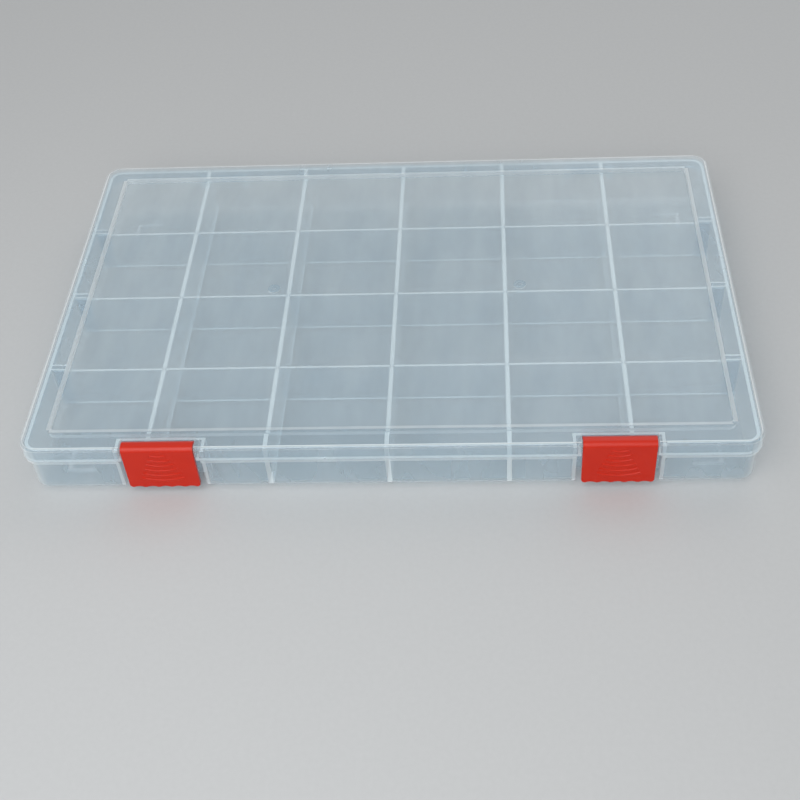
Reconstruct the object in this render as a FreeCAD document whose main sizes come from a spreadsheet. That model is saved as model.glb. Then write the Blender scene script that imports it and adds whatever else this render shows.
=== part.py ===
"""Flat compartment box: hinged lid, two snap latches and lift-out cross dividers.

Lengths are millimetres. The box stands on its feet at z = 0, its width runs along X
and its latches face -Y. Y is zero half way between the latch fronts and the hinge backs.
"""
import FreeCAD, Part
import os

import Sketcher

SIZES = {
    # Shell outline and heights
    "lid_width": 275,
    "lid_depth": 178,
    "body_height": 23,
    "foot_height": 1.5,
    # Lid
    "lid_wall": 1.3,
    "lid_corner": 7,
    "lid_edge": 1,
    "skirt_height": 6.4,
    "panel_inset": 10.5,
    "panel_recess": 1.8,
    "panel_corner": 2,
    # Tray
    "skirt_gap": 0.3,
    "seat_gap": 0.3,
    "tray_wall": 1.4,
    "tray_floor": 1.5,
    "tray_edge": 2.4,
    "flange_thick": 1.4,
    "flange_setback": 0.3,
    "foot_arm": 12,
    "foot_wide": 2,
    "foot_gap": 0.6,
    # Compartments
    "columns": 6,
    "rows": 4,
    "column_wall": 1.8,
    "divider_thick": 1.2,
    "divider_corner": 1.5,
    "divider_side_gap": 0.15,
    "divider_end_gap": 0.15,
    "divider_seat": 0.1,
    "groove_depth": 0.45,
    "guide_thick": 0.9,
    "channel_gap": 0.4,
    "swing_gap": 1.3,
    # Latches
    "latch_width": 27,
    "latch_inset": 52.5,
    "latch_height": 21,
    "latch_plate": 1.5,
    "latch_hook_wall": 1.1,
    "latch_gap": 0.4,
    "latch_edge": 2,
    "latch_corner": 1.5,
    "bar_radius": 1.4,
    "bar_clearance": 0.08,
    "catch_reach": 2.2,
    "catch_bite": 1,
    "catch_gap": 0.4,
    "catch_thick": 1.3,
    "catch_width": 22,
    "scallop_count": 5,
    "scallop_pitch": 5,
    "scallop_radius": 4.5,
    "scallop_depth": 0.5,
    "grip_count": 6,
    "grip_first": 8.4,
    "grip_pitch": 2.6,
    "grip_drop": 4.3,
    "grip_wide": 0.9,
    "grip_relief": 0.25,
    "grip_fan": 45,
    # Hinges
    "hinge_inset": 52.5,
    "hinge_pin_radius": 1.1,
    "hinge_clearance": 0.08,
    "hinge_clip_wall": 1.1,
    "hinge_clip_width": 16,
    "hinge_clip_rise": 2.8,
    "hinge_mouth": 1.9,
    "hinge_gap": 0.4,
    "hinge_lug_radius": 1.9,
    "hinge_lug_thick": 3,
    "hinge_lug_root": 3.5,
}

SIDES = {-1: "left", 1: "right"}

doc = FreeCAD.newDocument("compartment_box")
sheet = doc.addObject("Spreadsheet::Sheet", "Sizes")
for line, (alias, number) in enumerate(SIZES.items(), start=1):
    sheet.set(f"A{line}", alias)
    sheet.set(f"B{line}", str(number))
    sheet.setAlias(f"B{line}", alias)
doc.recompute()

# Outlines of the lid and the tray, as half sizes from the middle of the lid.
HALF_X = "(Sizes.lid_width / 2)"
HALF_Y = "(Sizes.lid_depth / 2)"
TRAY_INSET = "(Sizes.lid_wall + Sizes.skirt_gap)"
TRAY_X = f"({HALF_X} - {TRAY_INSET})"
TRAY_Y = f"({HALF_Y} - {TRAY_INSET})"
CAVITY_X = f"({TRAY_X} - Sizes.tray_wall)"
CAVITY_Y = f"({TRAY_Y} - Sizes.tray_wall)"
FLANGE_X = f"({HALF_X} - Sizes.flange_setback)"
FLANGE_Y = f"({HALF_Y} - Sizes.flange_setback)"
PANEL_X = f"({HALF_X} - Sizes.panel_inset)"
PANEL_Y = f"({HALF_Y} - Sizes.panel_inset)"

# Inner side of the channel under the lid's raised rim, where the panel steps down.
CHANNEL_X = f"({PANEL_X} + Sizes.lid_wall)"
CHANNEL_Y = f"({PANEL_Y} + Sizes.lid_wall)"

# Heights, from the feet up.
TRAY_BOTTOM = "Sizes.foot_height"
FLOOR_TOP = f"({TRAY_BOTTOM} + Sizes.tray_floor)"
LID_TOP = f"({TRAY_BOTTOM} + Sizes.body_height)"
SKIRT_BOTTOM = f"({LID_TOP} - Sizes.skirt_height)"
RIM_TOP = f"({LID_TOP} - Sizes.lid_wall - Sizes.seat_gap)"
DIVIDER_TOP = f"({LID_TOP} - Sizes.panel_recess - Sizes.lid_wall - Sizes.seat_gap)"
FLANGE_TOP = f"({SKIRT_BOTTOM} - Sizes.seat_gap)"
FLANGE_BOTTOM = f"({FLANGE_TOP} - Sizes.flange_thick)"

# Compartment grid. The outer columns are wider by one groove, so that every divider is alike.
PITCH_X = f"((2 * {CAVITY_X} + Sizes.column_wall - 2 * Sizes.groove_depth) / Sizes.columns)"
PITCH_Y = f"(2 * {CAVITY_Y} / Sizes.rows)"
FRONT_ROW = f"({PITCH_Y} - {CAVITY_Y})"
SLOT_HALF = "(Sizes.divider_thick / 2 + Sizes.divider_side_gap)"

# Latch bar in the lid's front notches, and the tray's bays behind the latches.
BORE_RADIUS = "(Sizes.bar_radius + Sizes.bar_clearance)"
HOOK_RADIUS = f"({BORE_RADIUS} + Sizes.latch_hook_wall)"
LATCH_FRONT = f"(-{HALF_Y})"
LATCH_BACK = f"({LATCH_FRONT} + Sizes.latch_plate)"
LATCH_BOTTOM = f"({LID_TOP} - Sizes.latch_height)"
BAR_Y = f"({LATCH_BACK} + {BORE_RADIUS})"
BAR_Z = f"({LID_TOP} - {HOOK_RADIUS})"
NOTCH_HALF = "(Sizes.latch_width / 2 + Sizes.latch_gap)"
NOTCH_BACK = f"({BAR_Y} + {HOOK_RADIUS} + Sizes.latch_gap)"
BAY_HALF = f"({NOTCH_HALF} + {TRAY_INSET})"
BAY_BACK = f"({NOTCH_BACK} + {TRAY_INSET})"
CATCH_LIP = f"({BAY_BACK} - Sizes.catch_reach)"
CATCH_TOP = f"({FLANGE_BOTTOM} - Sizes.catch_gap)"

# Hinge pin line behind the tray's flange.
CLIP_BORE = "(Sizes.hinge_pin_radius + Sizes.hinge_clearance)"
CLIP_RADIUS = f"({CLIP_BORE} + Sizes.hinge_clip_wall)"
HINGE_Y = f"({FLANGE_Y} + Sizes.hinge_gap + {CLIP_RADIUS})"
HINGE_Z = f"({FLANGE_TOP} - Sizes.hinge_lug_radius)"

# Moves the lid's middle so that the whole box is centred between its front and back.
FRONT_REACH = f"({HALF_Y} + Sizes.grip_relief)"
BACK_REACH = f"({HINGE_Y} + {CLIP_RADIUS})"
CENTRE_SHIFT = f"(({FRONT_REACH} - {BACK_REACH}) / 2)"


def value_of(formula):
    """Number that a formula on the size sheet gives."""
    return float(sheet.evalExpression(formula))


def origin_part(body, role):
    """Origin plane or axis of a body, such as XY_Plane or X_Axis."""
    return next(item for item in body.Origin.OriginFeatures if item.Role == role)


def new_body(label):
    """Empty body that stands at the box's centre."""
    body = doc.addObject("PartDesign::Body", label)
    body.Label = label
    body.setExpression("Placement.Base.y", CENTRE_SHIFT)
    return body


def new_sketch(body, name, role, offset="0"):
    """Sketch on a body's origin plane, moved along the plane's normal."""
    sketch = body.newObject("Sketcher::SketchObject", f"{body.Label}_{name}_sketch")
    sketch.AttachmentSupport = [(origin_part(body, role), "")]
    sketch.MapMode = "FlatFace"
    sketch.setExpression("AttachmentOffset.Base.z", offset)
    return sketch


def tie(sketch, kind, curve, point, label, formula):
    """Dimension from the sketch's origin to a point of a curve, bound to a formula."""
    number = value_of(formula)
    index = sketch.addConstraint(Sketcher.Constraint(kind, -1, 1, curve, point, number))
    sketch.renameConstraint(index, label)
    sketch.setExpression(f"Constraints.{label}", formula)


def add_polygon(sketch, name, corners):
    """Closed outline of straight sides through corners given as pairs of formulas."""
    points = [FreeCAD.Vector(value_of(x), value_of(y), 0) for x, y in corners]
    first = sketch.GeometryCount
    count = len(points)
    for i in range(count):
        sketch.addGeometry(Part.LineSegment(points[i], points[(i + 1) % count]))
    for i, (x, y) in enumerate(corners):
        following = first + (i + 1) % count
        sketch.addConstraint(Sketcher.Constraint("Coincident", first + i, 2, following, 1))
        tie(sketch, "DistanceX", first + i, 1, f"{name}_x{i}", x)
        tie(sketch, "DistanceY", first + i, 1, f"{name}_y{i}", y)


def add_rectangle(sketch, name, x_low, x_high, y_low, y_high):
    """Rectangle between two pairs of formulas."""
    corners = [(x_low, y_low), (x_high, y_low), (x_high, y_high), (x_low, y_high)]
    add_polygon(sketch, name, corners)


def add_circle(sketch, name, x, y, radius):
    """Circle with its centre and radius bound to formulas."""
    centre = FreeCAD.Vector(value_of(x), value_of(y), 0)
    curve = Part.Circle(centre, FreeCAD.Vector(0, 0, 1), value_of(radius))
    index = sketch.addGeometry(curve)
    tie(sketch, "DistanceX", index, 3, f"{name}_x", x)
    tie(sketch, "DistanceY", index, 3, f"{name}_y", y)
    size = sketch.addConstraint(Sketcher.Constraint("Radius", index, value_of(radius)))
    sketch.renameConstraint(size, f"{name}_radius")
    sketch.setExpression(f"Constraints.{name}_radius", radius)


def extrude(body, sketch, kind, length, both_ways=False, reverse=False):
    """Pad or Pocket of a sketch, checked to add or take material."""
    before = body.Shape.Volume if body.Tip else 0
    feature = body.newObject(f"PartDesign::{kind}", sketch.Name.replace("sketch", kind.lower()))
    feature.Profile = sketch
    feature.setExpression("Length", length)
    feature.SideType = "Symmetric" if both_ways else "One side"
    feature.Reversed = reverse
    doc.recompute()
    grown = body.Shape.Volume - before
    if (grown > 0) != (kind == "Pad"):
        raise RuntimeError(f"{feature.Name} changes the volume by {grown:.3f} mm3")
    return feature


def pad(body, sketch, length, **options):
    """Material added along a sketch's normal."""
    return extrude(body, sketch, "Pad", length, **options)


def pocket(body, sketch, length, **options):
    """Material taken away against a sketch's normal."""
    return extrude(body, sketch, "Pocket", length, **options)


def round_edges(body, name, radius, chosen):
    """Fillet on the edges of a body for which chosen(start, end) is true."""
    base = body.Tip
    names = []
    for i, edge in enumerate(base.Shape.Edges, start=1):
        ends = [vertex.Point for vertex in edge.Vertexes]
        if len(ends) == 2 and chosen(*ends):
            names.append(f"Edge{i}")
    feature = body.newObject("PartDesign::Fillet", f"{body.Label}_{name}_fillet")
    feature.Base = (base, names)
    feature.setExpression("Radius", radius)
    doc.recompute()
    return feature


def round_uprights(body, name, radius, reach):
    """Fillet on the upright edges that stand at a distance from the middle along X."""
    distance = value_of(reach)
    round_edges(
        body,
        name,
        radius,
        lambda start, end: upright(start, end) and near(abs(start.x), distance),
    )


def repeat_backwards(body, feature, rows, pitch):
    """Copies of a feature along Y, one for each row after the first."""
    pattern = body.newObject("PartDesign::LinearPattern", f"{feature.Name}_rows")
    pattern.Originals = [feature]
    pattern.Direction = (origin_part(body, "Y_Axis"), [""])
    pattern.Mode = "Spacing"
    pattern.setExpression("Offset", pitch)
    pattern.setExpression("Occurrences", rows)
    body.Tip = pattern
    doc.recompute()
    return pattern


def near(first, second):
    """True if two lengths agree."""
    return abs(first - second) < 1e-4


def upright(start, end):
    """True for an edge that runs along Z."""
    return near(start.x, end.x) and near(start.y, end.y)


def level(start, end, height):
    """True for an edge that lies at a height."""
    return near(start.z, height) and near(end.z, height)


def latch_middle(side):
    """Formula for the X of a latch's middle; side is -1 or 1."""
    return f"({side} * ({HALF_X} - Sizes.latch_inset))"


def hinge_middle(side):
    """Formula for the X of a hinge's middle; side is -1 or 1."""
    return f"({side} * ({HALF_X} - Sizes.hinge_inset))"


def cut_front_openings(body, name, half, back, top, depth):
    """Two rectangular openings in the front, one for each latch."""
    front = f"(-{HALF_Y} - Sizes.lid_wall)"
    sketch = new_sketch(body, name, "XY_Plane", top)
    for side, label in SIDES.items():
        middle = latch_middle(side)
        add_rectangle(sketch, label, f"{middle} - {half}", f"{middle} + {half}", front, back)
    pocket(body, sketch, depth)


def make_lid():
    """Lid shell: skirt, raised rim, sunk panel, latch notches with bars and hinge clips."""
    body = new_body("lid")
    block = new_sketch(body, "block", "XY_Plane", SKIRT_BOTTOM)
    add_rectangle(block, "rim", f"-{HALF_X}", HALF_X, f"-{HALF_Y}", HALF_Y)
    pad(body, block, "Sizes.skirt_height")
    round_edges(body, "corner", "Sizes.lid_corner", upright)

    panel = new_sketch(body, "panel", "XY_Plane", LID_TOP)
    add_rectangle(panel, "panel", f"-{PANEL_X}", PANEL_X, f"-{PANEL_Y}", PANEL_Y)
    pocket(body, panel, "Sizes.panel_recess")
    round_uprights(body, "panel_corner", "Sizes.panel_corner", PANEL_X)
    cut_front_openings(body, "notch", NOTCH_HALF, NOTCH_BACK, LID_TOP, "Sizes.skirt_height")

    base = body.Tip
    underside = min(
        range(len(base.Shape.Faces)), key=lambda i: base.Shape.Faces[i].CenterOfMass.z
    )
    shell = body.newObject("PartDesign::Thickness", "lid_shell")
    shell.Base = (base, [f"Face{underside + 1}"])
    shell.Join = "Intersection"
    shell.Reversed = True
    shell.setExpression("Value", "Sizes.lid_wall")
    doc.recompute()

    top = value_of(LID_TOP)
    half_x = value_of(HALF_X)
    half_y = value_of(HALF_Y)

    def on_outline(point):
        return near(abs(point.x), half_x) or near(abs(point.y), half_y)

    def outer_rim(start, end):
        return level(start, end, top) and on_outline(start) and on_outline(end)

    round_edges(body, "rim_edge", "Sizes.lid_edge", outer_rim)

    for side, label in SIDES.items():
        bar = new_sketch(body, f"bar_{label}", "YZ_Plane", latch_middle(side))
        add_circle(bar, "bar", BAR_Y, BAR_Z, "Sizes.bar_radius")
        pad(body, bar, f"2 * {NOTCH_HALF} + Sizes.lid_wall", both_ways=True)
    for side in SIDES:
        add_hinge_clip(body, side)
    return body


def add_hinge_clip(body, side):
    """Clip on the lid's back skirt that snaps over one hinge pin."""
    label = SIDES[side]
    middle = hinge_middle(side)
    width = "Sizes.hinge_clip_width"
    root = f"({HALF_Y} - Sizes.lid_wall / 2)"
    clip_top = f"({HINGE_Z} + {CLIP_RADIUS})"
    arm = new_sketch(body, f"clip_arm_{label}", "YZ_Plane", middle)
    add_polygon(
        arm,
        "arm",
        [
            (root, SKIRT_BOTTOM),
            (f"({HALF_Y} + Sizes.seat_gap)", SKIRT_BOTTOM),
            (f"({HINGE_Y} - {CLIP_BORE})", f"({HINGE_Z} + {CLIP_BORE})"),
            (HINGE_Y, f"({HINGE_Z} + {CLIP_BORE})"),
            (HINGE_Y, clip_top),
            (root, f"({SKIRT_BOTTOM} + Sizes.hinge_clip_rise)"),
        ],
    )
    pad(body, arm, width, both_ways=True)
    ring = new_sketch(body, f"clip_ring_{label}", "YZ_Plane", middle)
    add_circle(ring, "ring", HINGE_Y, HINGE_Z, CLIP_RADIUS)
    pad(body, ring, width, both_ways=True)
    bore = new_sketch(body, f"clip_bore_{label}", "YZ_Plane", middle)
    add_circle(bore, "bore", HINGE_Y, HINGE_Z, CLIP_BORE)
    pocket(body, bore, width, both_ways=True)
    mouth = new_sketch(body, f"clip_mouth_{label}", "YZ_Plane", middle)
    add_rectangle(
        mouth,
        "mouth",
        f"{HINGE_Y} - Sizes.hinge_mouth / 2",
        f"{HINGE_Y} + Sizes.hinge_mouth / 2",
        f"{HINGE_Z} - 2 * {CLIP_RADIUS}",
        HINGE_Z,
    )
    pocket(body, mouth, width, both_ways=True)


def make_tray():
    """Tray: floor, walls with latch bays, flange, column walls, divider guides, feet, hinge pins."""
    body = new_body("tray")
    block = new_sketch(body, "block", "XY_Plane", TRAY_BOTTOM)
    add_rectangle(block, "wall", f"-{TRAY_X}", TRAY_X, f"-{TRAY_Y}", TRAY_Y)
    pad(body, block, f"{RIM_TOP} - {TRAY_BOTTOM}")
    flange = new_sketch(body, "flange", "XY_Plane", FLANGE_BOTTOM)
    add_rectangle(flange, "flange", f"-{FLANGE_X}", FLANGE_X, f"-{FLANGE_Y}", FLANGE_Y)
    pad(body, flange, "Sizes.flange_thick")
    cut_front_openings(body, "bay", BAY_HALF, BAY_BACK, RIM_TOP, f"{RIM_TOP} - {TRAY_BOTTOM}")
    hollow_out(body)

    tray_corner = f"Sizes.lid_corner - {TRAY_INSET}"
    round_uprights(body, "corner", tray_corner, TRAY_X)
    round_uprights(body, "flange_corner", "Sizes.lid_corner - Sizes.flange_setback", FLANGE_X)
    round_uprights(body, "cavity_corner", f"{tray_corner} - Sizes.tray_wall", CAVITY_X)
    bottom = value_of(TRAY_BOTTOM)
    round_edges(
        body, "bottom_edge", "Sizes.tray_edge", lambda start, end: level(start, end, bottom)
    )

    for side in SIDES:
        add_hinge_pin(body, side)
    add_feet(body)
    add_catch_lips(body)
    lower_bay_rims(body)
    add_divider_guides(body)
    add_column_walls(body)
    return body


def hollow_out(body):
    """Cavity of the tray, which steps round the two latch bays."""
    back = f"({BAY_BACK} + Sizes.tray_wall)"
    half = f"({BAY_HALF} + Sizes.tray_wall)"
    corners = [(CAVITY_X, CAVITY_Y), (f"-{CAVITY_X}", CAVITY_Y), (f"-{CAVITY_X}", f"-{CAVITY_Y}")]
    for side in SIDES:
        left = f"{latch_middle(side)} - {half}"
        right = f"{latch_middle(side)} + {half}"
        corners += [(left, f"-{CAVITY_Y}"), (left, back), (right, back), (right, f"-{CAVITY_Y}")]
    corners.append((CAVITY_X, f"-{CAVITY_Y}"))
    cavity = new_sketch(body, "cavity", "XY_Plane", RIM_TOP)
    add_polygon(cavity, "cavity", corners)
    pocket(body, cavity, f"{RIM_TOP} - {FLOOR_TOP}")


def lower_bay_rims(body):
    """Rim round each latch bay cut down, to pass under the step of the lid's panel."""
    rims = new_sketch(body, "bay_rims", "XY_Plane", RIM_TOP)
    half = f"({BAY_HALF} + Sizes.tray_wall)"
    for side, label in SIDES.items():
        middle = latch_middle(side)
        add_rectangle(
            rims,
            label,
            f"{middle} - {half}",
            f"{middle} + {half}",
            f"-{HALF_Y}",
            f"{BAY_BACK} + Sizes.tray_wall",
        )
    pocket(body, rims, f"{RIM_TOP} - {DIVIDER_TOP}")


def column_middle(index):
    """Formula for the X of a column wall; index runs from 1 at the left."""
    start = f"(Sizes.groove_depth - Sizes.column_wall / 2 - {CAVITY_X})"
    return f"({start} + {index} * {PITCH_X})"


def row_middle(index):
    """Formula for the Y of a row of dividers; index runs from 1 at the front."""
    return f"({index} * {PITCH_Y} - {CAVITY_Y})"


def add_column_walls(body):
    """Fixed walls from front to back, with grooves for the dividers and raised ends."""
    columns = range(1, int(value_of("Sizes.columns")))
    half = "Sizes.column_wall / 2"
    end = f"({CAVITY_Y} + Sizes.tray_wall / 2)"
    bay_end = f"({BAY_BACK} + Sizes.tray_wall / 2)"
    bay_reach = f"({BAY_HALF} + Sizes.tray_wall / 2)"
    walls = new_sketch(body, "columns", "XY_Plane", FLOOR_TOP)
    ends = new_sketch(body, "column_ends", "XY_Plane", DIVIDER_TOP)
    for column in columns:
        x = column_middle(column)
        faces = (f"{x} - {half}", f"{x} + {half}")
        nearest = min(abs(value_of(f"{x} - {latch_middle(side)}")) for side in SIDES)
        meets_bay = nearest < value_of(bay_reach)
        add_rectangle(walls, f"column{column}", *faces, bay_end if meets_bay else f"-{end}", end)
        add_rectangle(ends, f"back{column}", *faces, f"{CHANNEL_Y} + Sizes.swing_gap", end)
        if not meets_bay:
            inner = f"-({CHANNEL_Y} + Sizes.channel_gap)"
            add_rectangle(ends, f"front{column}", *faces, f"-{end}", inner)
    pad(body, walls, f"{DIVIDER_TOP} - {FLOOR_TOP}")
    pad(body, ends, f"{RIM_TOP} - {DIVIDER_TOP}")

    grooves = new_sketch(body, "grooves", "XY_Plane", DIVIDER_TOP)
    slot = (f"{FRONT_ROW} - {SLOT_HALF}", f"{FRONT_ROW} + {SLOT_HALF}")
    for column in columns:
        left = f"({column_middle(column)} - {half})"
        right = f"({column_middle(column)} + {half})"
        add_rectangle(grooves, f"left{column}", left, f"{left} + Sizes.groove_depth", *slot)
        add_rectangle(grooves, f"right{column}", f"{right} - Sizes.groove_depth", right, *slot)
    cut = pocket(body, grooves, f"{DIVIDER_TOP} - {FLOOR_TOP}")
    repeat_backwards(body, cut, "Sizes.rows - 1", PITCH_Y)


def add_divider_guides(body):
    """Pairs of ribs on the side walls that hold the outer ends of the dividers.

    They rise into the channel under the lid's rim, so that small things stay in their row.
    """
    guides = new_sketch(body, "guides", "XY_Plane", FLOOR_TOP)
    root = f"({CAVITY_X} + Sizes.tray_wall / 2)"
    tip = f"({CHANNEL_X} + Sizes.channel_gap)"
    near_face = f"({FRONT_ROW} - {SLOT_HALF})"
    far_face = f"({FRONT_ROW} + {SLOT_HALF})"
    front_rib = (f"{near_face} - Sizes.guide_thick", near_face)
    back_rib = (far_face, f"{far_face} + Sizes.guide_thick")
    for wall, (low, high) in {"left": (f"-{root}", f"-{tip}"), "right": (tip, root)}.items():
        add_rectangle(guides, f"{wall}_front", low, high, *front_rib)
        add_rectangle(guides, f"{wall}_back", low, high, *back_rib)
    ribs = pad(body, guides, f"{RIM_TOP} - {FLOOR_TOP}")
    repeat_backwards(body, ribs, "Sizes.rows - 1", PITCH_Y)


def add_catch_lips(body):
    """Lip across each latch bay that the latch's catch hooks under."""
    lips = new_sketch(body, "catch_lips", "XY_Plane", FLANGE_BOTTOM)
    root = f"({BAY_BACK} + Sizes.tray_wall / 2)"
    for side, label in SIDES.items():
        middle = latch_middle(side)
        add_rectangle(
            lips,
            label,
            f"{middle} - {BAY_HALF} - Sizes.tray_wall / 2",
            f"{middle} + {BAY_HALF} + Sizes.tray_wall / 2",
            CATCH_LIP,
            root,
        )
    pad(body, lips, "Sizes.flange_thick")


def add_feet(body):
    """L-shaped feet that drop into the sunk panel of a box below."""
    feet = new_sketch(body, "feet", "XY_Plane")
    outer_x = f"({PANEL_X} - Sizes.foot_gap)"
    outer_y = f"({PANEL_Y} - Sizes.foot_gap)"
    arm_x = f"({outer_x} - Sizes.foot_arm)"
    arm_y = f"({outer_y} - Sizes.foot_arm)"
    inner_x = f"({outer_x} - Sizes.foot_wide)"
    inner_y = f"({outer_y} - Sizes.foot_wide)"
    outline = [
        (outer_x, outer_y),
        (arm_x, outer_y),
        (arm_x, inner_y),
        (inner_x, inner_y),
        (inner_x, arm_y),
        (outer_x, arm_y),
    ]
    for side, label in SIDES.items():
        for end, place in {-1: "front", 1: "back"}.items():
            corners = [(f"{side} * {x}", f"{end} * {y}") for x, y in outline]
            add_polygon(feet, f"{label}_{place}", corners)
    pad(body, feet, "Sizes.foot_height")


def add_hinge_pin(body, side):
    """Two lugs on the tray's back with the pin that one lid clip turns on."""
    label = SIDES[side]
    middle = hinge_middle(side)
    reach = "(Sizes.hinge_clip_width / 2 + Sizes.hinge_gap + Sizes.hinge_lug_thick / 2)"
    root = f"({TRAY_Y} - Sizes.tray_wall / 2)"
    for end, place in ((-1, "inner"), (1, "outer")):
        offset = f"({middle} + {end} * {reach})"
        web = new_sketch(body, f"lug_{label}_{place}", "YZ_Plane", offset)
        add_polygon(
            web,
            "web",
            [
                (root, FLANGE_TOP),
                (HINGE_Y, FLANGE_TOP),
                (HINGE_Y, f"({HINGE_Z} - Sizes.hinge_lug_radius)"),
                (root, f"({HINGE_Z} - Sizes.hinge_lug_radius - Sizes.hinge_lug_root)"),
            ],
        )
        pad(body, web, "Sizes.hinge_lug_thick", both_ways=True)
        eye = new_sketch(body, f"eye_{label}_{place}", "YZ_Plane", offset)
        add_circle(eye, "eye", HINGE_Y, HINGE_Z, "Sizes.hinge_lug_radius")
        pad(body, eye, "Sizes.hinge_lug_thick", both_ways=True)
    pin = new_sketch(body, f"pin_{label}", "YZ_Plane", middle)
    add_circle(pin, "pin", HINGE_Y, HINGE_Z, "Sizes.hinge_pin_radius")
    pad(body, pin, f"2 * {reach}", both_ways=True)


def make_latch(side):
    """Latch: finger plate with fan grip and scalloped tip, bar clip and catch."""
    body = new_body(f"latch_{SIDES[side]}")
    middle = latch_middle(side)
    plate = new_sketch(body, "plate", "YZ_Plane", middle)
    add_polygon(
        plate,
        "plate",
        [
            (LATCH_FRONT, LATCH_BOTTOM),
            (LATCH_BACK, LATCH_BOTTOM),
            (LATCH_BACK, BAR_Z),
            (BAR_Y, BAR_Z),
            (BAR_Y, LID_TOP),
            (LATCH_FRONT, LID_TOP),
        ],
    )
    pad(body, plate, "Sizes.latch_width", both_ways=True)
    front = value_of(LATCH_FRONT)
    top = value_of(LID_TOP)
    bottom = value_of(LATCH_BOTTOM)
    round_edges(
        body,
        "top_edge",
        "Sizes.latch_edge",
        lambda start, end: level(start, end, top) and near(start.y, front) and near(end.y, front),
    )
    round_edges(
        body,
        "tip_corner",
        "Sizes.latch_corner",
        lambda start, end: level(start, end, bottom) and near(start.x, end.x),
    )
    ring = new_sketch(body, "ring", "YZ_Plane", middle)
    add_circle(ring, "ring", BAR_Y, BAR_Z, HOOK_RADIUS)
    pad(body, ring, "Sizes.latch_width", both_ways=True)
    bore = new_sketch(body, "bore", "YZ_Plane", middle)
    add_circle(bore, "bore", BAR_Y, BAR_Z, BORE_RADIUS)
    pocket(body, bore, "Sizes.latch_width", both_ways=True)
    mouth = new_sketch(body, "mouth", "YZ_Plane", middle)
    add_polygon(
        mouth,
        "mouth",
        [
            (BAR_Y, BAR_Z),
            (BAR_Y, f"{BAR_Z} - 2 * {HOOK_RADIUS}"),
            (f"{BAR_Y} + 2 * {HOOK_RADIUS}", f"{BAR_Z} - 2 * {HOOK_RADIUS}"),
            (f"{BAR_Y} + 2 * {HOOK_RADIUS}", BAR_Z),
        ],
    )
    pocket(body, mouth, "Sizes.latch_width", both_ways=True)

    catch = new_sketch(body, "catch", "YZ_Plane", middle)
    tip = f"({CATCH_LIP} + Sizes.catch_bite)"
    add_polygon(
        catch,
        "catch",
        [
            (f"{LATCH_FRONT} + Sizes.latch_plate / 2", CATCH_TOP),
            (tip, CATCH_TOP),
            (tip, f"{CATCH_TOP} - Sizes.catch_thick / 2"),
            (f"{LATCH_FRONT} + Sizes.latch_plate / 2", f"{CATCH_TOP} - 2 * Sizes.catch_thick"),
        ],
    )
    pad(body, catch, "Sizes.catch_width", both_ways=True)
    add_scallops(body, middle)
    add_grip(body, middle)
    return body


def add_scallops(body, middle):
    """Row of shallow round bites along the latch's free end."""
    count = int(value_of("Sizes.scallop_count"))
    scallops = new_sketch(body, "scallops", "XZ_Plane", f"-{LATCH_FRONT} + Sizes.grip_relief")
    centre = f"({LATCH_BOTTOM} - Sizes.scallop_radius + Sizes.scallop_depth)"
    for i in range(count):
        step = i - (count - 1) / 2
        x = f"{middle} + {step} * Sizes.scallop_pitch"
        add_circle(scallops, f"bite{i}", x, centre, "Sizes.scallop_radius")
    pocket(body, scallops, "2 * Sizes.latch_plate")


def add_grip(body, middle):
    """Fan of low arc ribs on the latch's face, turned about a point above its top edge."""
    half = "Sizes.grip_wide / 2"
    centre = f"({LID_TOP} - Sizes.grip_drop + Sizes.grip_first)"
    grip = new_sketch(body, "grip", "YZ_Plane", middle)
    for i in range(int(value_of("Sizes.grip_count"))):
        z = f"({centre} - Sizes.grip_first - {i} * Sizes.grip_pitch)"
        add_rectangle(
            grip,
            f"rib{i}",
            f"{LATCH_FRONT} - Sizes.grip_relief",
            f"{LATCH_FRONT} + Sizes.latch_plate / 2",
            f"{z} - {half}",
            f"{z} + {half}",
        )
    axis = sketch_axis(grip, centre)
    fan = body.newObject("PartDesign::Revolution", f"{body.Label}_grip_revolution")
    fan.Profile = grip
    fan.ReferenceAxis = (grip, [axis])
    fan.setExpression("Angle", "Sizes.grip_fan")
    fan.Midplane = True
    doc.recompute()


def sketch_axis(sketch, height):
    """Construction line along the sketch's X at a height, named for use as an axis."""
    number = value_of(height)
    points = [FreeCAD.Vector(x, number, 0) for x in (-1, 1)]
    index = sketch.addGeometry(Part.LineSegment(*points), True)
    sketch.addConstraint(Sketcher.Constraint("Horizontal", index))
    tie(sketch, "DistanceY", index, 1, "axis_height", height)
    sketch.addConstraint(Sketcher.Constraint("DistanceX", -1, 1, index, 1, -1))
    sketch.addConstraint(Sketcher.Constraint("DistanceX", -1, 1, index, 2, 1))
    return "Axis0"


def make_divider(column, row):
    """Lift-out plate across one column; it stands on the floor between two slots."""
    columns = int(value_of("Sizes.columns"))
    wall_end = f"({CAVITY_X} - Sizes.divider_end_gap)"
    slot = "(Sizes.column_wall / 2 - Sizes.groove_depth + Sizes.divider_end_gap)"
    left = f"-{wall_end}" if column == 1 else f"({column_middle(column - 1)} + {slot})"
    right = wall_end if column == columns else f"({column_middle(column)} - {slot})"
    low = f"({FLOOR_TOP} + Sizes.divider_seat)"
    body = new_body(f"divider_row{row}_col{column}")
    body.setExpression("Placement.Base.y", f"{CENTRE_SHIFT} + {row_middle(row)}")
    plate = new_sketch(body, "plate", "XZ_Plane")
    add_rectangle(plate, "plate", left, right, low, DIVIDER_TOP)
    pad(body, plate, "Sizes.divider_thick", both_ways=True)
    bottom = value_of(low)
    round_edges(
        body,
        "foot",
        "Sizes.divider_corner",
        lambda start, end: level(start, end, bottom) and near(start.x, end.x),
    )
    return body


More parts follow.
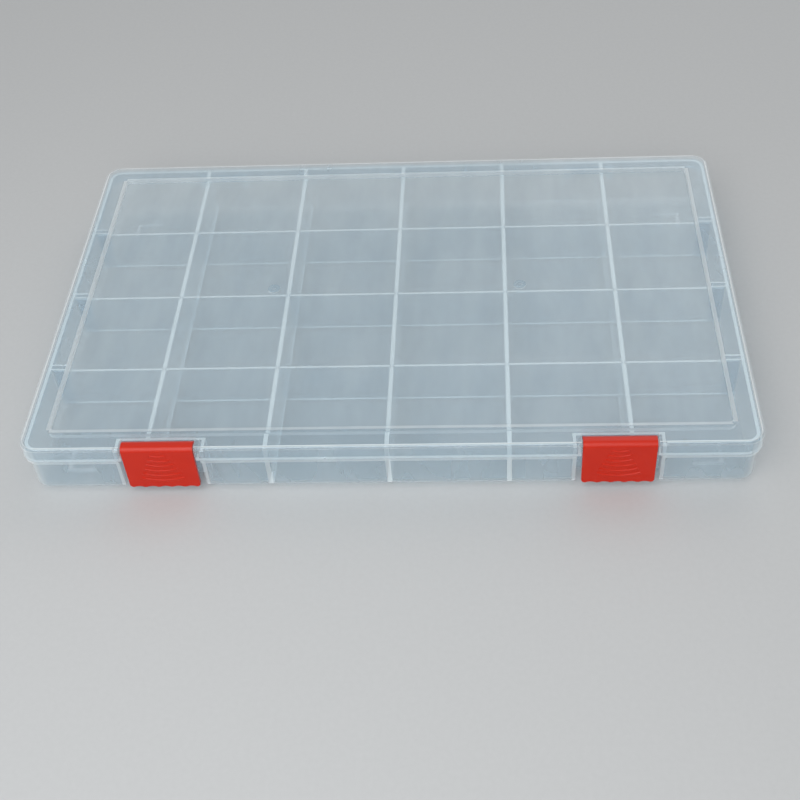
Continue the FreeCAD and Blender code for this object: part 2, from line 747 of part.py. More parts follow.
pieces = [make_tray(), make_lid()] + [make_latch(side) for side in SIDES]
for row_index in range(1, int(value_of("Sizes.rows"))):
    for column_index in range(1, int(value_of("Sizes.columns")) + 1):
        pieces.append(make_divider(column_index, row_index))

doc.recompute()
faults = [item.Name for item in doc.Objects if {"Invalid", "Error"} & set(item.State)]
for piece in pieces:
    if piece.Shape.isNull() or not piece.Shape.isValid() or len(piece.Shape.Solids) != 1:
        faults.append(piece.Label)
if faults:
    raise RuntimeError("failed features or shapes: " + ", ".join(faults))

os.makedirs("parts", exist_ok=True)
for piece in pieces:
    piece.Shape.exportStep(os.path.join("parts", f"{piece.Label}.step"))
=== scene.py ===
"""Looks of a flat compartment box: natural polypropylene shells and two orange latches.

Sizes in the classes are millimetres and angles are degrees. Meshes are in metres, in the frame
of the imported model.
"""
import logging
import math
from dataclasses import dataclass
from enum import Enum

import bpy
from mathutils import Matrix, Vector
from mathutils.bvhtree import BVHTree


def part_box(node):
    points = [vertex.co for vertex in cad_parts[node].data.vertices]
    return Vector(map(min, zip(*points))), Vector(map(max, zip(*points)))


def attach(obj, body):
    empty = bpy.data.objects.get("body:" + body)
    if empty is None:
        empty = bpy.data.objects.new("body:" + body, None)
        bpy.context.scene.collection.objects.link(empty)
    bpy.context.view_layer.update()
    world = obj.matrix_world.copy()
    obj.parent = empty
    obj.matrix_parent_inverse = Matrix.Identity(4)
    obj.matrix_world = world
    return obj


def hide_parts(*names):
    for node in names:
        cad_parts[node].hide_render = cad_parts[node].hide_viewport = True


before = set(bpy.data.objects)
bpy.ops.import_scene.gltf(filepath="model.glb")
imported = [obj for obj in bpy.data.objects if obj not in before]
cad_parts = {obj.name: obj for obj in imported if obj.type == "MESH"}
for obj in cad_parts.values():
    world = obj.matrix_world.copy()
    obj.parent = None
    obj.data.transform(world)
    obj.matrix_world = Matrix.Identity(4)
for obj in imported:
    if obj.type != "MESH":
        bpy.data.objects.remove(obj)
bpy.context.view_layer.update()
LOG = logging.getLogger("compartment_box")

MM = 0.001
DEPTH = "plastic_depth"
WHITE = "#FFFFFF"

# Points of a mesh that lie closer than this are one point, in millimetres.
MERGE = 0.001

# Least share of a face's normal along an axis for the face to count as square to that axis. The
# planes of walls are held to the stricter value.
SQUARE = 0.99
SQUARE_WALL = 0.999

# Blend at which Layer Weight's Facing is one minus the cosine of the view's slant.
PLAIN_FACING = 0.5

# Values between which a noise texture mostly lies.
NOISE_LOW = 0.3
NOISE_HIGH = 0.7


class Slot(Enum):
    """Material slots of the record."""

    SHELL = "natural_shell"
    DIVIDER = "natural_divider"
    LATCH = "orange_latch"


class Side(Enum):
    """Sides of the box for someone who faces the latches, as signs along the width."""

    LEFT = -1
    RIGHT = 1

    @property
    def word(self) -> str:
        """The side as the names of pieces hold it."""
        return self.name.lower()


def linear(code: str) -> tuple[float, float, float, float]:
    """Turns an sRGB hex code into a linear colour, by the curve of that standard.

    Args:
        code: Six hex digits after a hash sign.

    Returns:
        Linear red, green, blue and an alpha of one.
    """
    shares = [int(code[i:i + 2], 16) / 255 for i in (1, 3, 5)]
    curve = [s / 12.92 if s <= 0.04045 else ((s + 0.055) / 1.055) ** 2.4 for s in shares]
    return (*curve, 1.0)


def add_node(tree: bpy.types.NodeTree, kind: str, settings: dict | None = None,
             inputs: dict | None = None) -> bpy.types.Node:
    """Adds a node with its settings and its inputs.

    Args:
        tree: Node tree that gets the node.
        kind: Blender's name of the node type.
        settings: Values for the node's own properties.
        inputs: Value or output socket for each input, by its name or number.

    Returns:
        The new node.
    """
    node = tree.nodes.new(kind)
    for name, value in (settings or {}).items():
        setattr(node, name, value)
    for name, value in (inputs or {}).items():
        socket = node.inputs[name]
        if isinstance(value, bpy.types.NodeSocket):
            tree.links.new(value, socket)
        else:
            socket.default_value = value
    return node


def empty_material(name: str) -> tuple[bpy.types.Material, bpy.types.NodeTree]:
    """Makes a material whose node tree is empty.

    Args:
        name: Name of the material.

    Returns:
        The material and its node tree.
    """
    material = bpy.data.materials.new(name)
    material.use_nodes = True
    material.node_tree.nodes.clear()
    return material, material.node_tree


def seen_share(tree: bpy.types.NodeTree) -> bpy.types.NodeSocket:
    """Adds the nodes that tell what is seen from what only lights other things.

    Args:
        tree: Node tree that gets the nodes.

    Returns:
        One for what is seen, also in gloss and through plastic, and else zero.
    """
    path = add_node(tree, "ShaderNodeLightPath")
    direct = add_node(tree, "ShaderNodeMath", {"operation": "MAXIMUM"}, {
        0: path.outputs["Is Camera Ray"], 1: path.outputs["Is Glossy Ray"]})
    seen = add_node(tree, "ShaderNodeMath", {"operation": "MAXIMUM"}, {
        0: direct.outputs["Value"], 1: path.outputs["Is Transmission Ray"]})
    return seen.outputs["Value"]


@dataclass(frozen=True)
class NaturalPolypropylene:
    """Moulded natural polypropylene, milky and see-through.

    Thin walls veil what is behind them, more so at a slant. A wall seen edge-on, where the
    plastic is deep, is nearly white, because light scatters back out of it. What the plastic
    passes and scatters is slightly blue. The moulding leaves faint flow marks and a fine grain,
    which is drawn coarser than it is so that it shows.

    Attributes:
        name: Name of the material.
        body: Colour of the light that the plastic scatters.
        clear: Colour of the light that passes straight through a wall.
        keep_per_mm: Share of light that passes straight through a millimetre of plastic.
        edge_mm: Depth from which a face is a wall's edge, hazy from inside too.
        surface_veil: Haze of a satin surface, as a depth of plastic.
        slant_gain: How much deeper plastic counts when it is seen along its surface.
        slant_power: How late that sets in as the view tilts.
        forward: Share of the scattered light that leaves a clear wall on its far side.
        gloss_roughness: Roughness of the surface.
        ior: Index of refraction.
        mirror_power: How late the mirroring sets in as the view tilts.
        flow_mm: Length of the flow marks, which run from front to back.
        flow_stretch: How many times longer than wide the flow marks are.
        flow: Share by which the flow marks vary the depth.
        grain_mm: Width of the grain.
        grain: Height of the grain.
        grain_strength: Share of that height that turns the reflections.
        detail: Octaves of both patterns.
    """

    name: str
    body: str = "#F3F7F7"
    clear: str = "#E5EFF5"
    keep_per_mm: float = 0.88
    edge_mm: float = 4.0
    surface_veil: float = 0.0
    slant_gain: float = 5.0
    slant_power: float = 2.0
    forward: float = 0.5
    gloss_roughness: float = 0.16
    ior: float = 1.49
    mirror_power: float = 5.0
    flow_mm: float = 30.0
    flow_stretch: float = 3.0
    flow: float = 0.10
    grain_mm: float = 0.8
    grain: float = 0.02
    grain_strength: float = 0.15
    detail: float = 2.0

    def material(self) -> bpy.types.Material:
        """Makes the node material of this plastic.

        Returns:
            The material.
        """
        material, tree = empty_material(self.name)
        place = add_node(tree, "ShaderNodeTexCoord").outputs["Object"]
        outside = add_node(tree, "ShaderNodeMixShader", None, {
            0: self.mirrored(tree), 1: self.veil(tree, place), 2: self.gloss(tree, place)})
        inside = add_node(tree, "ShaderNodeBsdfTransparent", None, {"Color": linear(WHITE)})
        surface = add_node(tree, "ShaderNodeMixShader", None, {
            0: self.leaving(tree), 1: outside.outputs["Shader"], 2: inside.outputs["BSDF"]})
        add_node(tree, "ShaderNodeOutputMaterial", None, {"Surface": surface.outputs["Shader"]})
        return material

    def veil(self, tree: bpy.types.NodeTree,
             place: bpy.types.NodeSocket) -> bpy.types.NodeSocket:
        """Adds the nodes for the milky body, which is haze over what shows through it.

        Args:
            tree: Node tree of the material.
            place: Object coordinates.

        Returns:
            The shader of the body.
        """
        kept = self.kept(tree, place)
        spread = add_node(tree, "ShaderNodeMath", {"operation": "MULTIPLY"}, {
            0: kept, 1: self.forward})
        front = add_node(tree, "ShaderNodeBsdfDiffuse", None, {"Color": linear(self.body)})
        back = add_node(tree, "ShaderNodeBsdfTranslucent", None, {"Color": linear(self.body)})
        haze = add_node(tree, "ShaderNodeMixShader", None, {
            0: spread.outputs["Value"], 1: front.outputs["BSDF"], 2: back.outputs["BSDF"]})
        clear = add_node(tree, "ShaderNodeBsdfTransparent", None, {"Color": linear(self.clear)})
        veil = add_node(tree, "ShaderNodeMixShader", None, {
            0: kept, 1: haze.outputs["Shader"], 2: clear.outputs["BSDF"]})
        return veil.outputs["Shader"]

    def kept(self, tree: bpy.types.NodeTree,
             place: bpy.types.NodeSocket) -> bpy.types.NodeSocket:
        """Adds the nodes for the share of light that passes straight through one wall.

        Args:
            tree: Node tree of the material.
            place: Object coordinates.

        Returns:
            The share, from the depth of plastic, the slant of the view and the flow marks.
        """
        along = add_node(tree, "ShaderNodeMapping", None, {
            "Vector": place, "Scale": (self.flow_stretch, 1.0, 1.0)})
        flow = add_node(tree, "ShaderNodeTexNoise", None, {
            "Vector": along.outputs["Vector"], "Scale": 1 / (self.flow_mm * MM),
            "Detail": self.detail})
        uneven = add_node(tree, "ShaderNodeMapRange", None, {
            "Value": flow.outputs["Fac"], "From Min": NOISE_LOW, "From Max": NOISE_HIGH,
            "To Min": 1 - self.flow, "To Max": 1 + self.flow})
        facing = add_node(tree, "ShaderNodeLayerWeight", None, {"Blend": PLAIN_FACING})
        slant = add_node(tree, "ShaderNodeMath", {"operation": "POWER"}, {
            0: facing.outputs["Facing"], 1: self.slant_power})
        longer = add_node(tree, "ShaderNodeMath", {"operation": "MULTIPLY_ADD"}, {
            0: slant.outputs["Value"], 1: self.slant_gain, 2: 1.0})
        depth = add_node(tree, "ShaderNodeAttribute", {"attribute_name": DEPTH})
        veiled = add_node(tree, "ShaderNodeMath", {"operation": "ADD"}, {
            0: depth.outputs["Fac"], 1: self.surface_veil})
        path = add_node(tree, "ShaderNodeMath", {"operation": "MULTIPLY"}, {
            0: veiled.outputs["Value"], 1: longer.outputs["Value"]})
        marked = add_node(tree, "ShaderNodeMath", {"operation": "MULTIPLY"}, {
            0: path.outputs["Value"], 1: uneven.outputs["Result"]})
        kept = add_node(tree, "ShaderNodeMath", {"operation": "POWER"}, {
            0: self.keep_per_mm, 1: marked.outputs["Value"]})
        return kept.outputs["Value"]

    def gloss(self, tree: bpy.types.NodeTree,
              place: bpy.types.NodeSocket) -> bpy.types.NodeSocket:
        """Adds the nodes for the light that the surface mirrors, turned by its grain.

        Args:
            tree: Node tree of the material.
            place: Object coordinates.

        Returns:
            The shader of the gloss.
        """
        grain = add_node(tree, "ShaderNodeTexNoise", None, {
            "Vector": place, "Scale": 1 / (self.grain_mm * MM), "Detail": self.detail})
        bump = add_node(tree, "ShaderNodeBump", None, {
            "Height": grain.outputs["Fac"], "Strength": self.grain_strength,
            "Distance": self.grain * MM})
        gloss = add_node(tree, "ShaderNodeBsdfAnisotropic", None, {
            "Color": linear(WHITE), "Roughness": self.gloss_roughness,
            "Normal": bump.outputs["Normal"]})
        return gloss.outputs["BSDF"]

    def mirrored(self, tree: bpy.types.NodeTree) -> bpy.types.NodeSocket:
        """Adds the nodes for the share of light that the surface mirrors.

        Args:
            tree: Node tree of the material.

        Returns:
            The share, small straight on and near one along the surface, alike on both sides.
        """
        facing = add_node(tree, "ShaderNodeLayerWeight", None, {"Blend": PLAIN_FACING})
        slant = add_node(tree, "ShaderNodeMath", {"operation": "POWER"}, {
            0: facing.outputs["Facing"], 1: self.mirror_power})
        straight_on = ((self.ior - 1) / (self.ior + 1)) ** 2
        share = add_node(tree, "ShaderNodeMath", {"operation": "MULTIPLY_ADD"}, {
            0: slant.outputs["Value"], 1: 1 - straight_on, 2: straight_on})
        return share.outputs["Value"]

    def leaving(self, tree: bpy.types.NodeTree) -> bpy.types.NodeSocket:
        """Adds the nodes that find where a thin wall is left, which veils nothing again.

        Args:
            tree: Node tree of the material.

        Returns:
            One on the inner side of a face over thin plastic, and else zero.
        """
        depth = add_node(tree, "ShaderNodeAttribute", {"attribute_name": DEPTH})
        thin = add_node(tree, "ShaderNodeMath", {"operation": "LESS_THAN"}, {
            0: depth.outputs["Fac"], 1: self.edge_mm})
        behind = add_node(tree, "ShaderNodeNewGeometry").outputs["Backfacing"]
        leaving = add_node(tree, "ShaderNodeMath", {"operation": "MULTIPLY"}, {
            0: thin.outputs["Value"], 1: behind})
        return leaving.outputs["Value"]


@dataclass(frozen=True)
class OrangePolypropylene:
    """Moulded orange-red polypropylene.

    The pigment hides what is inside, so the colour is solid and strong, with a faint mottle. The
    moulded skin has a soft, broad sheen and a fine grain, which is drawn coarser than it is so
    that it shows.

    Attributes:
        name: Name of the material.
        colour: Lighter colour of the mottle.
        shade: Darker colour of the mottle.
        roughness: Roughness of the skin.
        ior: Index of refraction.
        specular: Strength of the sheen.
        mottle_mm: Width of the mottle.
        mottle_detail: Octaves of the mottle.
        grain_mm: Width of the grain.
        grain: Height of the grain.
        grain_strength: Share of that height that turns the reflections.
        grain_detail: Octaves of the grain.
    """

    name: str = "moulded_orange_polypropylene"
    colour: str = "#CB2608"
    shade: str = "#C22006"
    roughness: float = 0.3
    ior: float = 1.49
    specular: float = 0.35
    mottle_mm: float = 6.0
    mottle_detail: float = 4.0
    grain_mm: float = 0.5
    grain: float = 0.02
    grain_strength: float = 0.2
    grain_detail: float = 2.0

    def material(self) -> bpy.types.Material:
        """Makes the node material of this plastic.

        Returns:
            The material.
        """
        material, tree = empty_material(self.name)
        place = add_node(tree, "ShaderNodeTexCoord").outputs["Object"]
        mottle = add_node(tree, "ShaderNodeTexNoise", None, {
            "Vector": place, "Scale": 1 / (self.mottle_mm * MM), "Detail": self.mottle_detail})
        colour = add_node(tree, "ShaderNodeMix", {"data_type": "RGBA"}, {
            "Factor": mottle.outputs["Fac"], "A": linear(self.shade), "B": linear(self.colour)})
        grain = add_node(tree, "ShaderNodeTexNoise", None, {
            "Vector": place, "Scale": 1 / (self.grain_mm * MM), "Detail": self.grain_detail})
        bump = add_node(tree, "ShaderNodeBump", None, {
            "Height": grain.outputs["Fac"], "Strength": self.grain_strength,
            "Distance": self.grain * MM})
        plastic = add_node(tree, "ShaderNodeBsdfPrincipled", None, {
            "Base Color": colour.outputs["Result"], "Roughness": self.roughness, "IOR": self.ior,
            "Specular IOR Level": self.specular, "Normal": bump.outputs["Normal"]})
        add_node(tree, "ShaderNodeOutputMaterial", None, {"Surface": plastic.outputs["BSDF"]})
        return material


@dataclass(frozen=True)
class StudioPaper:
    """Matt pale paper under the box, which fades into the pale surroundings further off.

    Attributes:
        pale: Colour of the surroundings.
        name: Name of the material.
        colour: Lighter colour of the fibres.
        fibre: Darker colour of the fibres.
        fibre_mm: Width of the fibres' pattern, coarser than real fibres so that it shows.
        fibre_detail: Octaves of that pattern.
        fade_from: Distance from the box's middle at which the paper begins to fade.
        fade_to: Distance from there at which only the surroundings show.
    """

    pale: str
    name: str = "matt_pale_paper"
    colour: str = "#C9CBCC"
    fibre: str = "#C4C6C7"
    fibre_mm: float = 2.0
    fibre_detail: float = 3.0
    fade_from: float = 350.0
    fade_to: float = 1400.0

    def material(self) -> bpy.types.Material:
        """Makes the node material of the paper.

        Returns:
            The material.
        """
        material, tree = empty_material(self.name)
        place = add_node(tree, "ShaderNodeTexCoord").outputs["Object"]
        fibre = add_node(tree, "ShaderNodeTexNoise", None, {
            "Vector": place, "Scale": 1 / (self.fibre_mm * MM), "Detail": self.fibre_detail})
        colour = add_node(tree, "ShaderNodeMix", {"data_type": "RGBA"}, {
            "Factor": fibre.outputs["Fac"], "A": linear(self.fibre), "B": linear(self.colour)})
        paper = add_node(tree, "ShaderNodeBsdfDiffuse", None, {"Color": colour.outputs["Result"]})
        away = add_node(tree, "ShaderNodeVectorMath", {"operation": "LENGTH"}, {0: place})
        fade = add_node(tree, "ShaderNodeMapRange", {"interpolation_type": "SMOOTHSTEP"}, {
            "Value": away.outputs["Value"], "From Min": self.fade_from * MM,
            "From Max": self.fade_to * MM})
        share = add_node(tree, "ShaderNodeMath", {"operation": "MULTIPLY"}, {
            0: fade.outputs["Result"], 1: seen_share(tree)})
        pale = add_node(tree, "ShaderNodeEmission", None, {"Color": linear(self.pale)})
        surface = add_node(tree, "ShaderNodeMixShader", None, {
            0: share.outputs["Value"], 1: paper.outputs["BSDF"], 2: pale.outputs["Emission"]})
        add_node(tree, "ShaderNodeOutputMaterial", None, {"Surface": surface.outputs["Shader"]})
        return material


def select_only(piece: bpy.types.Object) -> None:
    """Selects one object and makes it active.

    Args:
        piece: The object.
    """
    bpy.ops.object.select_all(action="DESELECT")
    piece.select_set(True)
    bpy.context.view_layer.objects.active = piece


def round_edges(piece: bpy.types.Object, radius: float, least_angle: float,
                segments: int = 2) -> None:
    """Rounds the edges of a piece with a bevel that is applied.

    Args:
        piece: The piece, which becomes the active object.
        radius: Width of the bevel.
        least_angle: Angle between two faces from which their edge is rounded.
        segments: Faces across the bevel.
    """
    select_only(piece)
    bevel = piece.modifiers.new("rounded_edges", "BEVEL")
    bevel.width = radius * MM
    bevel.segments = segments
    bevel.limit_method = "ANGLE"
    bevel.angle_limit = math.radians(least_angle)
    bpy.ops.object.modifier_apply(modifier=bevel.name)


def ray_target(mesh: bpy.types.Mesh) -> BVHTree:
    """Makes a tree of a mesh's faces that rays can be cast at.

    Args:
        mesh: The mesh.

    Returns:
        The tree, in metres.
    """
    corners = [v.co for v in mesh.vertices]
    return BVHTree.FromPolygons(corners, [tuple(p.vertices) for p in mesh.polygons])


def measure_depth(piece: bpy.types.Object, level_most: float = 12.0, upright_most: float = 3.0,
                  start: float = 0.01, level_from: float = 0.5, reached: float = 0.25) -> None:
    """Stores the depth of plastic behind each face, in millimetres, as a face attribute.

    Upright ends of walls are kept low, because little of the light that they hold leaves them
    sideways.

    Args:
        piece: Closed mesh.
        level_most: Largest depth for a face that looks up or down.
        upright_most: Largest depth for a face that looks sideways.
        start: Distance under the face at which its rays start.
        level_from: Upward share of the normal from which a face looks up or down.
        reached: Share of a face's area, shallowest first, whose depth the face gets.
    """
    mesh = piece.data
    solid = ray_target(mesh)
    mesh.calc_loop_triangles()
    samples: dict[int, list[tuple[float, float]]] = {}
    for triangle in mesh.loop_triangles:
        origin = triangle.center - triangle.normal * start * MM
        _, _, _, reach = solid.ray_cast(origin, -triangle.normal)
        samples.setdefault(triangle.polygon_index, []).append(((reach or 0) / MM, triangle.area))
    attribute = mesh.attributes.new(DEPTH, "FLOAT", "FACE")
    for index, found in samples.items():
        enough = sum(area for _, area in found) * reached
        covered = 0.0
        for depth, area in sorted(found):
            covered += area
            if covered >= enough:
                break
        level = abs(mesh.polygons[index].normal.z) > level_from
        attribute.data[index].value = min(depth, level_most if level else upright_most)


@dataclass
class Moulding:
    """A moulded piece that stands for one CAD node, with its edges broken by a small radius.

    Attributes:
        node: The CAD node.
        body: Body that the piece moves with.
        slot: Material slot of the record; not used.
        edge_radius: Radius of the broken edges.
        flat_angle: Angle up to which two faces are parts of one flat face.
        sharp_angle: Angle from which an edge is sharp.
        least_wall: Area from which the faces in one upright plane are a wall, in square
            millimetres.
        plane_digits: Digits after the point to which the place of such a plane is rounded.
    """

    node: str
    body: str = "tray"
    slot: Slot = Slot.SHELL
    edge_radius: float = 0.2
    flat_angle: float = 1.0
    sharp_angle: float = 35.0
    least_wall: float = 100.0
    plane_digits: int = 2

    def build(self, materials: list[bpy.types.Material]) -> None:
        """Makes the piece and dresses it.

        Args:
            materials: Materials of the piece, the first for every face that no zone takes.
        """
        piece = self.copy_solid()
        round_edges(piece, self.edge_radius, self.sharp_angle)
        self.score_walls(piece)
        self.shade(piece)
        measure_depth(piece)
        for material in materials:
            piece.data.materials.append(material)
        self.lay_zones(piece)
        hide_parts(self.node)
        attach(piece, self.body)
        LOG.info("%s: %d faces", piece.name, len(piece.data.polygons))

    def copy_solid(self) -> bpy.types.Object:
        """Makes a merged copy of the CAD node's mesh, with its flat faces made whole.

        Returns:
            The copy, selected and active.
        """
        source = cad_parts[self.node]
        piece = bpy.data.objects.new(f"{self.node}_moulding", source.data.copy())
        piece.data.materials.clear()
        bpy.context.scene.collection.objects.link(piece)
        select_only(piece)
        bpy.ops.object.mode_set(mode="EDIT")
        bpy.ops.mesh.select_all(action="SELECT")
        bpy.ops.mesh.remove_doubles(threshold=MERGE * MM)
        bpy.ops.mesh.dissolve_limited(angle_limit=math.radians(self.flat_angle))
        bpy.ops.object.mode_set(mode="OBJECT")
        return piece

    def score_walls(self, piece: bpy.types.Object) -> None:
        """Cuts the faces along the planes of the large upright walls.

        A face that covers a wall's end and open space then falls into parts, each with one
        depth of plastic behind it.

        Args:
            piece: The piece.
        """
        select_only(piece)
        for axis in (0, 1):
            across = Vector((axis == 0, axis == 1, 0))
            areas: dict[float, float] = {}
            for face in piece.data.polygons:
                if abs(face.normal[axis]) > SQUARE_WALL:
                    plane = round(face.center[axis] / MM, self.plane_digits)
                    areas[plane] = areas.get(plane, 0) + face.area / MM ** 2
            bpy.ops.object.mode_set(mode="EDIT")
            for plane in sorted(p for p, area in areas.items() if area >= self.least_wall):
                bpy.ops.mesh.select_all(action="SELECT")
                bpy.ops.mesh.bisect(
                    plane_co=across * plane * MM, plane_no=across, threshold=MERGE * MM)
            bpy.ops.object.mode_set(mode="OBJECT")

    def shade(self, piece: bpy.types.Object) -> None:
        """Shades the curves smooth and keeps the large faces flat.

        Args:
            piece: The piece.
        """
        select_only(piece)
        bpy.ops.object.shade_smooth_by_angle(angle=math.radians(self.sharp_angle))
        normals = piece.modifiers.new("flat_faces", "WEIGHTED_NORMAL")
        normals.keep_sharp = True
        bpy.ops.object.modifier_apply(modifier=normals.name)

    def lay_zones(self, piece: bpy.types.Object) -> None:
        """Gives some faces a finish of their own; a plain moulding has none."""


@dataclass
class Tray(Moulding):
    """Tray with its compartments, latch bays and hinge lugs in one moulding."""

    node: str = "tray"


@dataclass
class Latch(Moulding):
    """Latch that swings on a bar in the lid's notch, a body by itself."""

    slot: Slot = Slot.LATCH

    def __post_init__(self) -> None:
        """Makes the latch move with the body of its own name."""
        self.body = self.node


@dataclass
class Divider(Moulding):
    """Loose cross divider that stands between two slots, on the tray's floor."""

    slot: Slot = Slot.DIVIDER


@dataclass
class Lid(Moulding):
    """Lid with a satin panel inside its polished rim, and the marks of its two gates.

    Attributes:
        gate_reach: Distance of a gate mark from the middle of the width.
        panel_play: Largest distance in height of the panel's faces from its middle.
    """

    node: str = "lid"
    body: str = "lid"
    gate_reach: float = 51.0
    panel_play: float = 0.05

    def panel_middle(self) -> Vector:
        """Finds the middle of the sunk panel's top.

        Returns:
            The point, in metres.
        """
        low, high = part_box(self.node)
        above = Vector((0, (low[1] + high[1]) / 2, high[2] + MM))
        point, _, _, _ = ray_target(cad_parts[self.node].data).ray_cast(
            above, Vector((0, 0, -1)))
        return point

    def lay_zones(self, piece: bpy.types.Object) -> None:
        """Gives the sunk panel's top the second material.

        Args:
            piece: The piece.
        """
        height = self.panel_middle().z
        for face in piece.data.polygons:
            if face.normal.z > SQUARE and abs(face.center.z - height) < self.panel_play * MM:
                face.material_index = 1

    def mark_gates(self, material: bpy.types.Material) -> None:
        """Adds the two gate marks on the middle of the panel.

        Args:
            material: Material of the marks.
        """
        for side in Side:
            place = self.panel_middle() + Vector((side.value * self.gate_reach * MM, 0, 0))
            GateMark(f"gate_mark_{side.word}").build(place, self, material)


@dataclass
class GateMark:
    """Low round pad with a broken-off stub, where the plastic ran into the mould.

    Attributes:
        name: Name of the piece.
        radius: Radius of the pad.
        height: Height of the pad's lip.
        sunk: Depth of the pad's foot in the surface.
        lip: Width of the lip.
        dish: Depth of the dish inside the lip.
        stub_radius: Radius of the stub.
        stub_height: Height of the stub over the dish.
        round_off: Radius of the edges.
        round_from: Angle from which an edge is rounded.
        sides: Corners of the circle.
    """

    name: str
    radius: float = 2.6
    height: float = 0.35
    sunk: float = 0.1
    lip: float = 0.5
    dish: float = 0.175
    stub_radius: float = 0.8
    stub_height: float = 0.35
    round_off: float = 0.12
    round_from: float = 30.0
    sides: int = 48

    def build(self, place: Vector, carrier: Moulding, material: bpy.types.Material) -> None:
        """Makes one mark and dresses it.

        Args:
            place: Point of the carrier's surface under the mark's middle, in metres.
            carrier: Moulding that the mark is part of.
            material: Material of the mark.
        """
        mark = self.turn_pad(place)
        self.raise_stub(mark)
        round_edges(mark, self.round_off, self.round_from)
        bpy.ops.object.shade_smooth_by_angle(angle=math.radians(carrier.sharp_angle))
        measure_depth(mark)
        mark.data.materials.append(material)
        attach(mark, carrier.body)
        LOG.info("%s: %d faces", mark.name, len(mark.data.polygons))

    def turn_pad(self, place: Vector) -> bpy.types.Object:
        """Adds the round pad, with its top selected.

        Args:
            place: Point of the surface under the pad's middle, in metres.

        Returns:
            The pad, as the active object.
        """
        bpy.ops.object.select_all(action="DESELECT")
        tall = (self.height + self.sunk) * MM
        middle = place + Vector((0, 0, tall / 2 - self.sunk * MM))
        bpy.ops.mesh.primitive_cylinder_add(
            vertices=self.sides, radius=self.radius * MM, depth=tall, location=middle)
        pad = bpy.context.object
        pad.name = self.name
        bpy.ops.object.transform_apply(location=True, rotation=True, scale=True)
        bpy.ops.object.mode_set(mode="EDIT")
        bpy.ops.mesh.select_all(action="DESELECT")
        bpy.ops.object.mode_set(mode="OBJECT")
        for face in pad.data.polygons:
            face.select = face.normal.z > SQUARE
        return pad

    def raise_stub(self, pad: bpy.types.Object) -> None:
        """Sinks the dish into the pad's selected top and raises the stub in its middle.

        Args:
            pad: The pad, as the active object.
        """
        bpy.ops.object.mode_set(mode="EDIT")
        bpy.ops.mesh.inset(thickness=self.lip * MM)
        bpy.ops.mesh.extrude_region_move(
            TRANSFORM_OT_translate={"value": (0, 0, -self.dish * MM)})
        bpy.ops.mesh.inset(thickness=(self.radius - self.lip - self.stub_radius) * MM)
        bpy.ops.mesh.extrude_region_move(
            TRANSFORM_OT_translate={"value": (0, 0, self.stub_height * MM)})
        bpy.ops.object.mode_set(mode="OBJECT")


@dataclass(frozen=True)
class Softbox:
    """Square lamp that faces the box.

    Attributes:
        name: Name of the lamp.
        place: Middle of the lamp.
        size: Length of its sides.
        power: Power in watts.
    """

    name: str
    place: tuple[float, float, float]
    size: float
    power: float

    def hang(self) -> None:
        """Adds the lamp."""
        lamp = bpy.data.lights.new(self.name, "AREA")
        lamp.size = self.size * MM
        lamp.energy = self.power
        item = bpy.data.objects.new(self.name, lamp)
        item.location = Vector(self.place) * MM
        item.rotation_euler = (-item.location).to_track_quat("-Z", "Y").to_euler()
        bpy.context.scene.collection.objects.link(item)


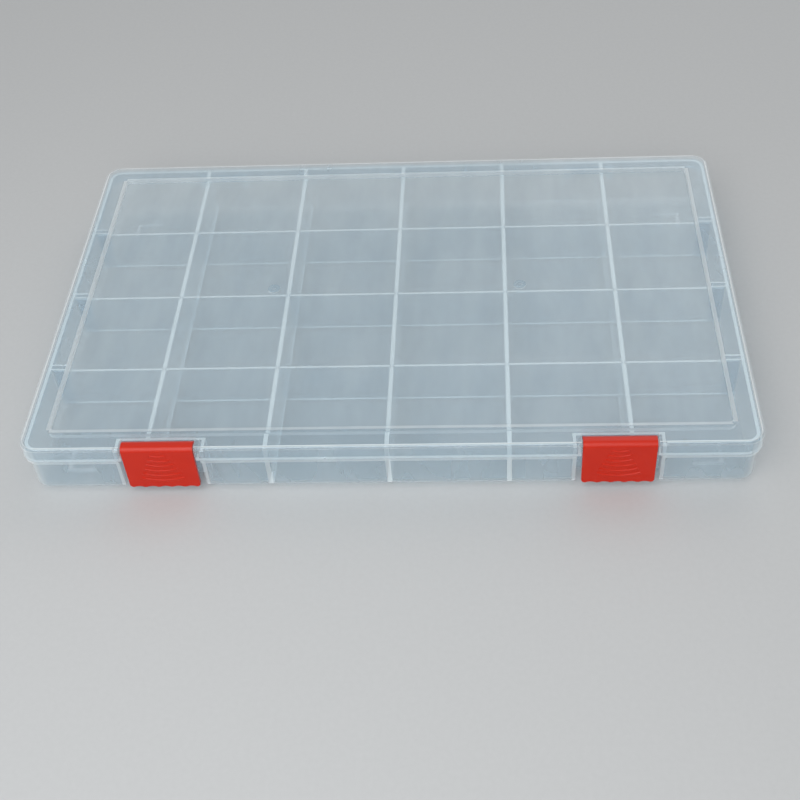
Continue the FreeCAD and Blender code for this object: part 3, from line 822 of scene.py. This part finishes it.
@dataclass
class Studio:
    """Pale floor, soft light and the camera.

    Attributes:
        floor_size: Length of the floor's sides.
        sky_strength: Strength of the light from all round.
        pale: Colour of the surroundings that are seen.
        lamps: The lamps.
        see_through_faces: Most faces that a ray passes through.
        camera_place: Place of the camera.
        tilt: Angle by which the camera looks down.
        yaw: Angle by which it looks to the right of straight back.
        roll: Angle by which its right side is turned up.
        lens: Focal length.
        sensor: Width of the sensor.
        side_shift: Sideways shift of the picture, as a share of its width.
        near_limit: Distance from the camera at which things begin to show.
    """

    floor_size: float = 6000.0
    sky_strength: float = 0.46
    pale: str = "#E4E6E8"
    lamps: tuple[Softbox, ...] = (
        Softbox("key", place=(-150, -420, 520), size=500, power=1.7),
        Softbox("fill", place=(-100, -1500, 800), size=1400, power=8.6),
        Softbox("rear", place=(500, 1000, 1100), size=1000, power=3.0),
    )
    see_through_faces: int = 64
    camera_place: tuple[float, float, float] = (37.5, -407.0, 370.2)
    tilt: float = 45.44
    yaw: float = -4.33
    roll: float = -3.87
    lens: float = 58.04
    sensor: float = 36.0
    side_shift: float = -0.025
    near_limit: float = 10.0

    def build(self) -> None:
        """Sets the whole stage."""
        self.lay_floor()
        self.light()
        self.place_camera()

    def lay_floor(self) -> None:
        """Adds the floor."""
        bpy.ops.object.select_all(action="DESELECT")
        bpy.ops.mesh.primitive_plane_add(size=self.floor_size * MM)
        floor = bpy.context.object
        floor.name = "floor"
        floor.data.materials.append(StudioPaper(self.pale).material())

    def light(self) -> None:
        """Adds the lamps and the pale surroundings."""
        scene = bpy.context.scene
        scene.view_settings.view_transform = "Standard"
        scene.cycles.transparent_max_bounces = self.see_through_faces
        world = bpy.data.worlds.new("pale_studio")
        scene.world = world
        world.use_nodes = True
        tree = world.node_tree
        tree.nodes.clear()
        light = add_node(tree, "ShaderNodeBackground", None, {
            "Color": linear(WHITE), "Strength": self.sky_strength})
        pale = add_node(tree, "ShaderNodeBackground", None, {
            "Color": linear(self.pale), "Strength": 1.0})
        mix = add_node(tree, "ShaderNodeMixShader", None, {
            0: seen_share(tree), 1: light.outputs["Background"], 2: pale.outputs["Background"]})
        add_node(tree, "ShaderNodeOutputWorld", None, {"Surface": mix.outputs["Shader"]})
        for lamp in self.lamps:
            lamp.hang()

    def place_camera(self) -> None:
        """Adds the camera at the photograph's angle."""
        tilt, yaw, roll = (math.radians(a) for a in (self.tilt, self.yaw, self.roll))
        ahead = Vector((math.sin(yaw) * math.cos(tilt), math.cos(yaw) * math.cos(tilt),
                        -math.sin(tilt)))
        level = Vector((math.cos(yaw), -math.sin(yaw), 0))
        above = level.cross(ahead)
        right = math.cos(roll) * level + math.sin(roll) * above
        up = math.cos(roll) * above - math.sin(roll) * level
        data = bpy.data.cameras.new("camera")
        data.lens = self.lens
        data.sensor_width = self.sensor
        data.shift_x = self.side_shift
        data.clip_start = self.near_limit * MM
        camera = bpy.data.objects.new("camera", data)
        turn = Matrix((right, up, -ahead)).transposed().to_4x4()
        camera.matrix_world = Matrix.Translation(Vector(self.camera_place) * MM) @ turn
        bpy.context.scene.collection.objects.link(camera)
        bpy.context.scene.camera = camera


def main() -> None:
    """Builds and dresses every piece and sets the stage."""
    logging.basicConfig(level=logging.INFO, format="%(name)s %(message)s")
    shell = NaturalPolypropylene("moulded_natural_polypropylene").material()
    satin = NaturalPolypropylene(
        "satin_moulded_natural_polypropylene", surface_veil=0.6, gloss_roughness=0.3).material()
    divider = NaturalPolypropylene("moulded_natural_divider", keep_per_mm=0.85).material()
    orange = OrangePolypropylene().material()
    Tray().build([shell])
    lid = Lid()
    lid.build([shell, satin])
    lid.mark_gates(shell)
    for side in Side:
        Latch(f"latch_{side.word}").build([orange])
    for node in sorted(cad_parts):
        if node.startswith("divider"):
            Divider(node).build([divider])
    Studio().build()


if __name__ == "__main__":
    main()
